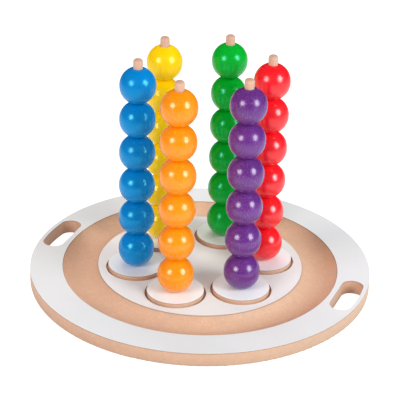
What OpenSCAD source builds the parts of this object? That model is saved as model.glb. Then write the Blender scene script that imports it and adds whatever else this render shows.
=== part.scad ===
// Colour sorting ball tray: a round faced board with a ball groove and two hand slots,
// and six lift-out towers, each a disc with a peg that carries six bored balls.
// The origin is the centre of the board's underside, +Z is up and the hand slots lie on the X axis.

/* [Board] */
// Diameter of the round board
board_d = 386; // [380:1:420]
// Thickness of the board with its facing
board_t = 16; // [14:0.5:22]
// Thickness of the white facing on the board and on the discs
facing_t = 0.8; // [0.5:0.1:1.2]
// Radius of the eased lower edge of the board
edge_r = 1.5; // [0.5:0.1:3]

/* [Ball groove] */
// Radius of the circle along the middle of the groove
groove_mid_r = 136.25; // [134:0.25:138]
// Width of the groove at the top of the board
groove_w = 40.5; // [36:0.5:42]
// Depth of the groove at its middle
groove_depth = 9.5; // [5:0.5:10]

/* [Hand slots] */
// Width of the strip left between a slot and the board's edge
slot_strip = 4.6; // [4:0.1:6]
// Width of a slot across its middle
slot_w = 25.9; // [24:0.1:27]
// Length of a slot along the board's edge
slot_l = 67.5; // [60:0.5:80]
// Radius of a slot's corners
slot_corner_r = 11.5; // [6:0.5:11.5]

/* [Towers] */
// Distance from the board's centre to each peg
tower_r = 73.3; // [72:0.1:76]
// Diameter of the recess that a tower's disc stands in
recess_d = 68.2; // [66:0.1:69]
// Depth of the recess below the top of the board
recess_depth = 4; // [2:0.5:6]
// Diameter of a tower's disc
disc_d = 63; // [60:0.5:64]
// Thickness of a tower's disc with its facing
disc_t = 8; // [6:0.5:12]
// Diameter of a peg
peg_d = 10.5; // [9:0.1:10.8]
// Radius of the rounded shoulder at a peg's top
peg_round_r = 3; // [1:0.25:4]
// Length of peg that shows above the top ball
peg_free_l = 10.5; // [8:0.5:20]

/* [Balls] */
// Number of balls on each peg
balls_per_peg = 6; // [1:1:6]
// Diameter of a ball
ball_d = 40; // [36:0.5:42]
// Height of a ball between its flats, as a share of its diameter
ball_height_share = 0.99; // [0.97:0.005:1]
// Diameter of the bore through a ball
ball_bore_d = 11.5; // [11.2:0.1:12]
// Width of the flat ring round each end of the bore
ball_flat_w = 0.5; // [0.3:0.1:1]

/* [Hidden] */
// Each tower's name and the colour of its balls, anticlockwise from the first tower
TOWERS = [
  ["red", [0.93, 0.10, 0.12]],
  ["green", [0.02, 0.58, 0.18]],
  ["yellow", [0.96, 0.80, 0.03]],
  ["blue", [0.02, 0.44, 0.72]],
  ["orange", [0.98, 0.58, 0.06]],
  ["purple", [0.38, 0.17, 0.51]]
];
COUNT = len(TOWERS);
FIRST_ANGLE = 30;
MDF = [0.84, 0.68, 0.54];
WHITE = [0.93, 0.93, 0.93];
BEECH = [0.91, 0.74, 0.62];

// Cutters reach this far past the faces that they cut
over = 1;
board_r = board_d / 2;
core_t = board_t - facing_t;

// The groove's section is an arc through its two edges and its lowest point
groove_arc_r = (groove_w * groove_w / 4 + groove_depth * groove_depth) / (2 * groove_depth);
groove_axis_z = board_t - groove_depth + groove_arc_r;

slot_out_r = board_r - slot_strip;
slot_in_x = slot_out_r - slot_w;
// Angle at the board's centre of the corner circles that touch the slot's outer arc
slot_corner_a = asin((slot_l / 2 - slot_corner_r) / (slot_out_r - slot_corner_r));

recess_floor_z = board_t - recess_depth;
disc_top_z = recess_floor_z + disc_t;

ball_h = ball_d * ball_height_share;
ball_bore_r = ball_bore_d / 2;
ball_flat_r = ball_bore_r + ball_flat_w;
// A ball is two half spheres this far above and below its centre, with a short band between them
ball_stretch = ball_h / 2 - sqrt(ball_d * ball_d / 4 - ball_flat_r * ball_flat_r);
peg_top_z = disc_top_z + balls_per_peg * ball_h + peg_free_l;

function tower_name(i) = TOWERS[i][0];
function tower_colour(i) = TOWERS[i][1];
function disc_core_name(i) = str(tower_name(i), "_disc_core");
function disc_facing_name(i) = str(tower_name(i), "_disc_facing");
function peg_name(i) = str(tower_name(i), "_peg");
function ball_name(i, n) = str(tower_name(i), "_ball_", n);

// Curves are true circles
$fn = 96;

// Puts its children at tower i, on the peg's axis
module at_tower(i) {
  rotate([0, 0, FIRST_ANGLE + i * 360 / COUNT])
    translate([tower_r, 0, 0])
      children();
}

// The ring that the groove's cutter sweeps out
module groove_cut() {
  rotate_extrude()
    translate([groove_mid_r, groove_axis_z])
      circle(groove_arc_r);
}

// Outline of the hand slot on the +X side: straight inside, an arc outside, round ends
module slot_outline() {
  end_y = slot_l / 2 - slot_corner_r;
  in_x = slot_in_x + slot_corner_r;
  out_x = (slot_out_r - slot_corner_r) * cos(slot_corner_a);
  rise = tan(slot_corner_a);
  for (side = [-1, 1]) {
    translate([in_x, side * end_y])
      circle(slot_corner_r);
    translate([out_x, side * end_y])
      circle(slot_corner_r);
  }
  translate([slot_in_x, -end_y])
    square([out_x - slot_in_x, 2 * end_y]);
  if (out_x > in_x)
    translate([in_x, -slot_l / 2])
      square([out_x - in_x, slot_l]);
  intersection() {
    circle(slot_out_r);
    polygon([
      [slot_in_x, -slot_in_x * rise],
      [board_r, -board_r * rise],
      [board_r, board_r * rise],
      [slot_in_x, slot_in_x * rise]
    ]);
  }
}

// Both hand slots, through the board's full thickness
module slot_cuts() {
  for (turn = [0, 180])
    rotate([0, 0, turn])
      translate([0, 0, -over])
        linear_extrude(board_t + 2 * over)
          slot_outline();
}

// The six recesses, open at the top
module recess_cuts() {
  for (i = [0 : COUNT - 1])
    at_tower(i)
      translate([0, 0, recess_floor_z])
        cylinder(d = recess_d, h = recess_depth + over);
}

// A plain disc with an eased lower edge
module eased_disc(r, h, ease) {
  translate([0, 0, ease])
    cylinder(r = r, h = h - ease);
  cylinder(r = r - ease, h = ease);
  rotate_extrude()
    intersection() {
      translate([r - ease, ease])
        circle(ease);
      translate([r - ease, 0])
        square(ease);
    }
}

// The bare board with its groove, recesses and hand slots
module board_core() {
  color(MDF)
    difference() {
      eased_disc(board_r, core_t, edge_r);
      groove_cut();
      recess_cuts();
      slot_cuts();
    }
}

// White facing outside the groove, cut through by the hand slots
module rim_facing() {
  color(WHITE)
    difference() {
      translate([0, 0, core_t])
        cylinder(r = board_r, h = facing_t);
      translate([0, 0, core_t - over])
        cylinder(r = groove_mid_r, h = facing_t + 2 * over);
      groove_cut();
      slot_cuts();
    }
}

// White facing inside the groove, cut through by the six recesses
module centre_facing() {
  color(WHITE)
    difference() {
      translate([0, 0, core_t])
        cylinder(r = groove_mid_r, h = facing_t);
      groove_cut();
      recess_cuts();
    }
}

// A tower's disc, bored for its peg
module disc_core(i) {
  color(MDF)
    at_tower(i)
      translate([0, 0, recess_floor_z])
        difference() {
          cylinder(d = disc_d, h = disc_t - facing_t);
          translate([0, 0, -over])
            cylinder(d = peg_d, h = disc_t + 2 * over);
        }
}

// White facing on a tower's disc, with the peg through it
module disc_facing(i) {
  color(WHITE)
    at_tower(i)
      translate([0, 0, disc_top_z - facing_t])
        difference() {
          cylinder(d = disc_d, h = facing_t);
          translate([0, 0, -over])
            cylinder(d = peg_d, h = facing_t + 2 * over);
        }
}

// A round peg, glued in its disc, with a rounded top
module peg(i) {
  shoulder_r = peg_d / 2 - peg_round_r;
  shoulder_z = peg_top_z - peg_round_r;
  color(BEECH)
    at_tower(i) {
      translate([0, 0, recess_floor_z])
        cylinder(d = peg_d, h = shoulder_z - recess_floor_z);
      translate([0, 0, shoulder_z])
        cylinder(r = shoulder_r, h = peg_round_r);
      translate([0, 0, shoulder_z])
        rotate_extrude()
          intersection() {
            translate([shoulder_r, 0])
              circle(peg_round_r);
            translate([shoulder_r, 0])
              square(peg_round_r);
          }
    }
}

// Half of a sphere, flat side down
module half_sphere(d) {
  intersection() {
    sphere(d = d);
    translate([-d, -d, 0])
      cube([2 * d, 2 * d, d]);
  }
}

// Ball n of tower i, counted from the disc
module ball(i, n) {
  color(tower_colour(i))
    at_tower(i)
      translate([0, 0, disc_top_z + (n - 0.5) * ball_h])
        difference() {
          intersection() {
            union() {
              translate([0, 0, ball_stretch])
                half_sphere(ball_d);
              mirror([0, 0, 1])
                translate([0, 0, ball_stretch])
                  half_sphere(ball_d);
              cylinder(d = ball_d, h = 2 * ball_stretch, center = true);
            }
            cylinder(d = ball_d + 2 * over, h = ball_h, center = true);
          }
          cylinder(d = ball_bore_d, h = ball_h + 2 * over, center = true);
        }
}

board_core();
rim_facing();
centre_facing();
for (i = [0 : COUNT - 1]) {
  disc_core(i);
  disc_facing(i);
  peg(i);
  for (n = [1 : balls_per_peg])
    ball(i, n);
}
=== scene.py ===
"""Looks for the ball stacking puzzle: a round faced tray, six pegs and thirty-six lacquered balls.

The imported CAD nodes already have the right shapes, so they all stay. This script gives each one
its material, and sets up the camera, lights and floor. Lengths are metres and angles are degrees,
apart from angles inside materials, which are radians.
"""
import math
import random

import bpy
from mathutils import Matrix, Vector


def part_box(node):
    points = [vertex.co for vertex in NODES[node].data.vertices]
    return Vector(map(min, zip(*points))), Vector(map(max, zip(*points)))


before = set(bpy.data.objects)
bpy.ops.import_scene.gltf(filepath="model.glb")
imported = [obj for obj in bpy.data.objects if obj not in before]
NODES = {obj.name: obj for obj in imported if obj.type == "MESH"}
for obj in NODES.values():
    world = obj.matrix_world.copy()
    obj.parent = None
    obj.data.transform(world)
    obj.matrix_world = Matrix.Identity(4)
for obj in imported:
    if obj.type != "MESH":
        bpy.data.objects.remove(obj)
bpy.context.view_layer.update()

# ---------------------------------------------------------------- camera
BOARD_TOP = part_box("rim_facing")[1].z
BOARD_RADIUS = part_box("rim_facing")[1].x
CAMERA_AZIMUTH = 21.14
CAMERA_ELEVATION = 29.0
CAMERA_DISTANCE = 1.8236
CAMERA_AIM = Vector((-0.002, -0.001, 0.0968))
CAMERA_ROLL = 1.667
# Focal length and sensor width, in millimetres
CAMERA_LENS = 143.7
CAMERA_SENSOR = 36.0


# ---------------------------------------------------------------- colours
def linear(r, g, b):
    """A colour given as shares of full sRGB, turned to linear light."""
    return tuple(c / 12.92 if c <= 0.04045 else ((c + 0.055) / 1.055) ** 2.4 for c in (r, g, b))


BALL_COLOURS = {
    "red": linear(0.98, 0.08, 0.13),
    "green": linear(0.0, 0.673, 0.16),
    "yellow": linear(1.0, 0.815, 0.0),
    "blue": linear(0.0, 0.503, 0.80),
    "orange": linear(0.99, 0.567, 0.0),
    "purple": linear(0.402, 0.169, 0.508),
}
# Tint of the lacquer's reflections. A weak channel keeps the stain's own colour pure
BALL_GLOSS = {
    "red": (1.0, 1.0, 1.0),
    "green": (0.2, 1.0, 0.7),
    "yellow": (1.0, 1.0, 0.45),
    "blue": (0.2, 1.0, 1.0),
    "orange": (1.0, 0.97, 0.72),
    "purple": (0.95, 0.86, 1.0),
}
# How strongly the wood shows through each stain
BALL_FIGURE = {"red": 0.5, "green": 0.3, "yellow": 0.3, "blue": 0.5, "orange": 0.8, "purple": 1.4}
MDF = linear(0.915, 0.735, 0.613)
BEECH = linear(0.845, 0.68, 0.585)
# One white laminate, given three whites: the centre's and the discs' are painted lighter than the rim's, as
# painted light that makes up for the shade of the columns round them
RIM_WHITE = linear(0.879, 0.881, 0.887)
CENTRE_WHITE_PAINTED_LIGHT = linear(0.927, 0.919, 0.916)
DISC_WHITE_PAINTED_LIGHT = linear(0.965, 0.975, 0.98)
LAMINATE_EDGE = linear(0.68, 0.55, 0.46)
FLOOR = linear(0.48, 0.48, 0.48)
PLAIN = (1.0, 1.0, 1.0)
# Most of the studio's light is a little warm, and what comes from the right is cooler
WARM = (1.06, 1.0, 0.98)
COOLISH = (0.95, 1.0, 1.02)
COOL = (0.55, 1.0, 1.16)

# ---------------------------------------------------------------- sizes and strengths
# Width of one growth band in the balls' wood
BAND_WIDTH = 0.0026
# How far a ball's grain may lean from its bore, and how far its pith lies from the bore's middle
GRAIN_LEAN = 0.15
PITH_RANGE = (0.008, 0.045)
# How much the balls of one colour differ, in lightness and in how strongly the wood shows
SHADE_RANGE = (0.96, 1.04)
FIGURE_RANGE = (0.5, 1.4)
BALLS_PER_PEG = 6
# The tower discs' bare edges are this much lighter than the board's same fibreboard: painted light, making
# up for the shade of the gap round the discs
DISC_EDGE_PAINTED_LIGHT = 1.04
# Depth of the dense skin below a sheet's upper face
SKIN_DEPTH = 0.0022

FLOOR_HALF_SIDE = 20.0
# How brightly the floor shows to the camera, in the lacquer, and as light thrown on the tray
FLOOR_SEEN = 1.0
FLOOR_GLOW = 0.86
FLOOR_BOUNCE = 0.78
# The lacquer mirrors the floor at its full glow out to here, and less beyond
FLOOR_NEAR = 0.45
# The light thrown up starts at the board's edge, and is full this far outside it
BOUNCE_FADE = 0.04
# The world's strength on the object. The camera sees it as white
WORLD_LIGHT = 0.175
# The softboxes face this point, in the middle of the columns
LIGHT_AIM = Vector((0.0, 0.0, 0.12))


# ---------------------------------------------------------------- node helpers
class Graph:
    """A material's node tree, with short calls that add nodes and link them."""

    def __init__(self, name):
        self.material = bpy.data.materials.new(name)
        self.material.use_nodes = True
        self.tree = self.material.node_tree
        self.bsdf = self.tree.nodes["Principled BSDF"]

    def add(self, kind, inputs=None, **settings):
        """Adds a node. inputs gives each socket a value, or an output to link it to."""
        made = self.tree.nodes.new(kind)
        for name, value in settings.items():
            setattr(made, name, value)
        for key, value in (inputs or {}).items():
            self.feed(made.inputs[key], value)
        return made

    def feed(self, socket, value):
        """Links socket to value if that is an output, and otherwise sets it."""
        if isinstance(value, bpy.types.NodeSocket):
            self.tree.links.new(value, socket)
        else:
            socket.default_value = value

    def shade(self, **inputs):
        """Sets the shader's own sockets, by names with spaces as underscores."""
        for name, value in inputs.items():
            self.feed(self.bsdf.inputs[name.replace("_", " ")], value)

    def place(self, location=(0, 0, 0), rotation=(0, 0, 0), scale=(1, 1, 1)):
        """Object coordinates, moved to location as their origin, then turned and scaled."""
        coords = self.add("ShaderNodeTexCoord").outputs["Object"]
        moved = self.add("ShaderNodeVectorMath", {0: coords, 1: location}, operation="SUBTRACT").outputs[0]
        turned = self.add("ShaderNodeVectorRotate", {"Vector": moved, "Rotation": rotation},
                          rotation_type="EULER_XYZ").outputs[0]
        return self.add("ShaderNodeVectorMath", {0: turned, 1: scale}, operation="MULTIPLY").outputs[0]

    def upward(self):
        """How far the surface faces up, from -1 to 1."""
        normal = self.add("ShaderNodeNewGeometry").outputs["Normal"]
        return self.add("ShaderNodeSeparateXYZ", {0: normal}).outputs["Z"]

    def noise(self, vector, scale, detail=3.0, roughness=0.5):
        """A noise value about 0.5, with about scale features in a metre."""
        inputs = {"Vector": vector, "Scale": scale, "Detail": detail, "Roughness": roughness}
        return self.add("ShaderNodeTexNoise", inputs).outputs["Fac"]

    def remap(self, value, low, high, to_low=0.0, to_high=1.0, smooth=False):
        """value, with low..high taken to to_low..to_high and held there beyond."""
        kind = "SMOOTHSTEP" if smooth else "LINEAR"
        inputs = {"Value": value, "From Min": low, "From Max": high, "To Min": to_low, "To Max": to_high}
        return self.add("ShaderNodeMapRange", inputs, interpolation_type=kind).outputs["Result"]

    def math(self, operation, a, b=0.0):
        return self.add("ShaderNodeMath", {0: a, 1: b}, operation=operation).outputs[0]

    def mix(self, factor, a, b):
        """Colour a, turning to b by factor."""
        made = self.add("ShaderNodeMix", data_type="RGBA")
        for index, value in ((0, factor), (6, a), (7, b)):
            self.feed(made.inputs[index], (*value, 1.0) if isinstance(value, tuple) else value)
        return made.outputs[2]

    def blend(self, factor, a, b):
        """Value a, turning to b by factor."""
        return self.add("ShaderNodeMix", {0: factor, 2: a, 3: b}, data_type="FLOAT").outputs[0]

    def length(self, a, b):
        """The length of the flat vector a, b."""
        return self.math("SQRT", self.math("ADD", self.math("MULTIPLY", a, a), self.math("MULTIPLY", b, b)))

    def bump(self, height, distance, strength):
        inputs = {"Height": height, "Distance": distance, "Strength": strength}
        return self.add("ShaderNodeBump", inputs).outputs["Normal"]


def tinted(colour, factor):
    """colour made lighter or darker by factor."""
    return tuple(min(1.0, c * factor) for c in colour)


def paled(colour, white):
    """colour made lighter, with that much white added."""
    return tuple(min(1.0, 1.3 * c + white) for c in colour)


# ---------------------------------------------------------------- materials
def lacquered_ball(name, colour, gloss, figure, centre, tilt, pith):
    """Stained beech under gloss lacquer. The grain runs up the bore: growth bands that curve round
    a pith off to one side, pale ray flecks, fine dark pores, and stain that takes unevenly.
    figure is how strongly all of it shows."""
    g = Graph(name)
    grain = g.place(centre, tilt)
    split = g.add("ShaderNodeSeparateXYZ", {0: grain})
    from_pith = g.length(g.math("SUBTRACT", split.outputs["X"], pith), split.outputs["Y"])
    wander = g.math("MULTIPLY", g.noise(g.place(centre, tilt, (1.0, 1.0, 0.3)), 60.0, 2.0), 9.0)
    bands = g.math("SINE", g.math("ADD", g.math("MULTIPLY", from_pith, math.tau / BAND_WIDTH), wander))
    fleck = g.remap(g.noise(g.place(centre, tilt, (1.0, 1.0, 0.25)), 900.0, 1.0), 0.56, 0.72)
    pores = g.noise(g.place(centre, tilt, (1.0, 1.0, 0.08)), 1300.0, 2.0, 0.6)
    cloud = g.noise(grain, 75.0, 3.0, 0.6)
    banded = g.mix(g.remap(bands, -0.4, 1.0, 0.0, 0.32 * figure), colour, tinted(colour, 0.75))
    clouded = g.mix(g.remap(cloud, 0.35, 0.7, 0.0, 0.35 * figure), banded, tinted(colour, 1.15))
    pored = g.mix(g.remap(pores, 0.42, 0.75, 0.0, 0.60 * figure), clouded, tinted(colour, 0.62))
    g.shade(Base_Color=g.mix(g.math("MULTIPLY", fleck, 0.27 * figure), pored, paled(colour, 0.10)),
            Roughness=g.remap(cloud, 0.3, 0.7, 0.20, 0.26),
            Normal=g.bump(g.math("ADD", fleck, pores), 0.00003, 0.06),
            IOR=1.70, Specular_Tint=(*gloss, 1.0))
    return g.material


def bare_mdf(name, colour, height, axis=(0.0, 0.0, 0.0)):
    """Cut fibreboard: fibres, clumps, patches, a faint mottle, cutter marks round the axis, and a
    darker dense skin below height."""
    g = Graph(name)
    here = g.place()
    fibre = g.noise(g.place(scale=(1.0, 1.0, 2.2)), 1700.0, 4.0, 0.7)
    mottle = g.noise(here, 55.0, 4.0, 0.6)
    clump = g.noise(here, 420.0, 3.0, 0.6)
    split = g.add("ShaderNodeSeparateXYZ", {0: g.place(axis)})
    x, y, z = (split.outputs[k] for k in "XYZ")
    turned = g.add("ShaderNodeCombineXYZ", {0: g.length(x, y), 1: z}).outputs[0]
    marks = g.noise(turned, 1100.0, 2.0, 0.6)
    patch = g.noise(here, 170.0, 2.0, 0.6)
    skin = g.remap(z, height - SKIN_DEPTH, height, 0.0, 0.25, smooth=True)
    base = g.mix(g.remap(mottle, 0.3, 0.7), tinted(colour, 0.92), tinted(colour, 1.06))
    patched = g.mix(g.remap(patch, 0.38, 0.62, 0.0, 0.5), base, tinted(colour, 0.86))
    clumped = g.mix(g.remap(clump, 0.38, 0.68, 0.0, 0.55), patched, tinted(colour, 0.76))
    speck = g.mix(g.remap(fibre, 0.38, 0.68, 0.0, 0.68), clumped, tinted(colour, 0.66))
    marked = g.mix(g.remap(marks, 0.45, 0.75, 0.0, 0.28), speck, tinted(colour, 0.72))
    g.shade(Base_Color=g.mix(skin, marked, tinted(colour, 0.62)),
            Roughness=g.remap(fibre, 0.3, 0.7, 0.48, 0.62),
            IOR=1.65,
            Normal=g.bump(g.math("ADD", fibre, marks), 0.00005, 0.4))
    return g.material


def white_laminate(name, white):
    """Pearl-finish laminate: a fine pebbled face with a faint haze, and a darker cut edge."""
    g = Graph(name)
    here = g.place()
    pebble = g.noise(here, 1400.0, 2.0)
    haze = g.noise(here, 18.0, 3.0, 0.55)
    face = g.mix(g.remap(haze, 0.35, 0.65), tinted(white, 0.985), tinted(white, 1.01))
    side = g.remap(g.upward(), 0.80, 0.96, 1.0, 0.0)
    g.shade(Base_Color=g.mix(side, face, LAMINATE_EDGE),
            Roughness=g.remap(pebble, 0.3, 0.7, 0.36, 0.46),
            Specular_IOR_Level=0.2,
            Normal=g.bump(pebble, 0.00002, 0.4))
    return g.material


def beech_peg(name, foot, turn):
    """Bare beech dowel: straight fine grain up its length, small dark flecks, a darker end grain."""
    g = Graph(name)
    turned = (0.0, 0.0, turn)
    streak = g.noise(g.place(foot, turned, (1.0, 1.0, 0.04)), 900.0, 4.0, 0.6)
    fleck = g.remap(g.noise(g.place(foot, turned, (1.0, 1.0, 0.22)), 1500.0, 1.0), 0.66, 0.74)
    body = g.mix(g.remap(streak, 0.3, 0.7), tinted(BEECH, 0.90), tinted(BEECH, 1.04))
    ended = g.mix(g.remap(g.upward(), 0.3, 0.9, 0.0, 0.65), body, tinted(BEECH, 0.66))
    g.shade(Base_Color=g.mix(g.math("MULTIPLY", fleck, 0.4), ended, tinted(BEECH, 0.50)),
            Roughness=g.remap(streak, 0.3, 0.7, 0.55, 0.68),
            Specular_IOR_Level=0.35,
            Normal=g.bump(streak, 0.00005, 0.5))
    return g.material


def pale_floor(name):
    """Seamless white paper with barely visible tooth, which glows as paper lit past white does. The
    camera sees it as white, the lacquer mirrors it less the farther off it is, and what it throws
    up at the tray starts outside the board's edge, where the tray doesn't shade it."""
    g = Graph(name)
    tooth = g.noise(g.place(), 400.0, 3.0)
    path = g.add("ShaderNodeLightPath").outputs
    away = g.add("ShaderNodeVectorMath", {0: g.place()}, operation="LENGTH").outputs["Value"]
    nearness = g.math("MINIMUM", g.math("DIVIDE", FLOOR_NEAR, away), 1.0)
    mirrored = g.math("MULTIPLY", nearness, FLOOR_GLOW)
    bounce = g.remap(away, BOARD_RADIUS, BOARD_RADIUS + BOUNCE_FADE, 0.0, FLOOR_BOUNCE, smooth=True)
    seen = g.blend(path["Is Glossy Ray"], FLOOR_SEEN, mirrored)
    glow = g.blend(path["Is Diffuse Ray"], seen, bounce)
    g.shade(Base_Color=g.mix(g.remap(tooth, 0.3, 0.7), tinted(FLOOR, 0.995), FLOOR),
            Roughness=g.remap(tooth, 0.3, 0.7, 0.9, 0.95),
            Specular_IOR_Level=0.1,
            Emission_Color=(*PLAIN, 1.0), Emission_Strength=glow)
    return g.material


def dress(node, material):
    """Gives a CAD node its one material."""
    data = NODES[node].data
    data.materials.clear()
    data.materials.append(material)


def centre_of(node):
    low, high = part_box(node)
    return (low + high) / 2


def foot_of(node):
    """The point at height zero on a node's own axis."""
    centre = centre_of(node)
    return (centre.x, centre.y, 0.0)


def dress_everything():
    """Gives every CAD node its material. The random draws come in one fixed order."""
    rng = random.Random(7)
    board_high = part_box("board_core")[1].z
    dress("board_core", bare_mdf("board_mdf", MDF, board_high))
    dress("rim_facing", white_laminate("rim_laminate", RIM_WHITE))
    # The centre and the discs get the lighter whites, with painted light in them
    dress("centre_facing", white_laminate("centre_laminate", CENTRE_WHITE_PAINTED_LIGHT))
    disc_laminate = white_laminate("disc_laminate", DISC_WHITE_PAINTED_LIGHT)
    for colour_name, colour in BALL_COLOURS.items():
        disc = f"{colour_name}_disc_core"
        disc_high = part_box(disc)[1].z
        # The discs' fibreboard is lightened by painted light
        dress(disc, bare_mdf(f"{disc}_mdf", tinted(MDF, DISC_EDGE_PAINTED_LIGHT), disc_high, foot_of(disc)))
        dress(f"{colour_name}_disc_facing", disc_laminate)
        peg = f"{colour_name}_peg"
        dress(peg, beech_peg(f"{peg}_beech", tuple(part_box(peg)[0]), rng.uniform(0, math.tau)))
        for number in range(1, BALLS_PER_PEG + 1):
            ball = f"{colour_name}_ball_{number}"
            tilt = (rng.uniform(-GRAIN_LEAN, GRAIN_LEAN), rng.uniform(-GRAIN_LEAN, GRAIN_LEAN),
                    rng.uniform(0, math.tau))
            pith = rng.uniform(*PITH_RANGE)
            shade = rng.uniform(*SHADE_RANGE)
            figure = BALL_FIGURE[colour_name] * rng.uniform(*FIGURE_RANGE)
            dress(ball, lacquered_ball(f"{ball}_lacquer", tinted(colour, shade), BALL_GLOSS[colour_name],
                                       figure, tuple(centre_of(ball)), tilt, pith))


# ---------------------------------------------------------------- stage
def make_floor():
    side = FLOOR_HALF_SIDE
    mesh = bpy.data.meshes.new("floor")
    corners = [(-side, -side, 0.0), (side, -side, 0.0), (side, side, 0.0), (-side, side, 0.0)]
    mesh.from_pydata(corners, [], [(0, 1, 2, 3)])
    mesh.materials.append(pale_floor("floor_paper"))
    floor = bpy.data.objects.new("floor", mesh)
    bpy.context.scene.collection.objects.link(floor)


def direction(azimuth, elevation):
    """Unit vector from the object towards a place, with azimuth as the viewer's own."""
    a, e = math.radians(azimuth), math.radians(elevation)
    return Vector((math.sin(a) * math.cos(e), -math.cos(a) * math.cos(e), math.sin(e)))


def softbox(name, azimuth, elevation, distance, width, height, power, shape="RECTANGLE", roll=0.0,
            colour=PLAIN, glint=True):
    """An area light that faces LIGHT_AIM, turned about its own axis by roll, with power in watts.
    Without glint it leaves no highlight."""
    data = bpy.data.lights.new(name, "AREA")
    data.shape = shape
    data.size = width
    data.size_y = height
    data.energy = power
    data.color = colour
    light = bpy.data.objects.new(name, data)
    way = direction(azimuth, elevation)
    light.location = LIGHT_AIM + way * distance
    facing = way.to_track_quat("Z", "Y").to_matrix()
    light.rotation_euler = (facing @ Matrix.Rotation(math.radians(roll), 3, "Z")).to_euler()
    light.visible_glossy = glint
    bpy.context.scene.collection.objects.link(light)


def make_lights():
    """Two softboxes that the lacquer mirrors, and fills that it doesn't."""
    softbox("left_softbox", CAMERA_AZIMUTH - 44, 25, 4.4, 2.05, 2.05, 100, "ELLIPSE", colour=WARM)
    softbox("right_softbox", CAMERA_AZIMUTH + 55, 26, 4.4, 2.10, 2.60, 136, "ELLIPSE", roll=-14,
            colour=COOLISH)
    softbox("front_fill", CAMERA_AZIMUTH, 45, 3.0, 2.4, 1.8, 10, colour=WARM, glint=False)
    softbox("right_low_fill", CAMERA_AZIMUTH + 92, 14, 4.4, 3.5, 1.8, 46, colour=COOL, glint=False)
    softbox("right_fill", CAMERA_AZIMUTH + 110, 35, 4.4, 3.5, 2.6, 16, glint=False)
    softbox("back_fill", CAMERA_AZIMUTH + 180, 50, 3.0, 2.4, 1.8, 41, colour=WARM, glint=False)
    softbox("left_fill", CAMERA_AZIMUTH + 250, 35, 3.0, 2.4, 1.8, 11, colour=WARM, glint=False)


def make_world():
    """An even dim light, white to the camera and unseen in the lacquer."""
    world = bpy.data.worlds.new("studio")
    world.use_nodes = True
    tree = world.node_tree
    background = tree.nodes["Background"]
    background.inputs["Color"].default_value = (*PLAIN, 1.0)
    path = tree.nodes.new("ShaderNodeLightPath")
    strength = tree.nodes.new("ShaderNodeMapRange")
    strength.inputs["To Min"].default_value = WORLD_LIGHT
    tree.links.new(path.outputs["Is Camera Ray"], strength.inputs["Value"])
    tree.links.new(strength.outputs["Result"], background.inputs["Strength"])
    # The scene's world is set first, because a change of visibility updates it
    bpy.context.scene.world = world
    world.cycles_visibility.glossy = False


def make_camera():
    data = bpy.data.cameras.new("camera")
    data.lens = CAMERA_LENS
    data.sensor_width = CAMERA_SENSOR
    camera = bpy.data.objects.new("camera", data)
    way = direction(CAMERA_AZIMUTH, CAMERA_ELEVATION)
    camera.location = Vector((0, 0, BOARD_TOP)) + way * CAMERA_DISTANCE
    towards = CAMERA_AIM - camera.location
    upright = towards.to_track_quat("-Z", "Y").to_matrix()
    camera.rotation_euler = (upright @ Matrix.Rotation(math.radians(CAMERA_ROLL), 3, "Z")).to_euler()
    bpy.context.scene.collection.objects.link(camera)
    bpy.context.scene.camera = camera
    bpy.context.scene.view_settings.view_transform = "Standard"


make_camera()
make_lights()
make_world()
make_floor()
dress_everything()
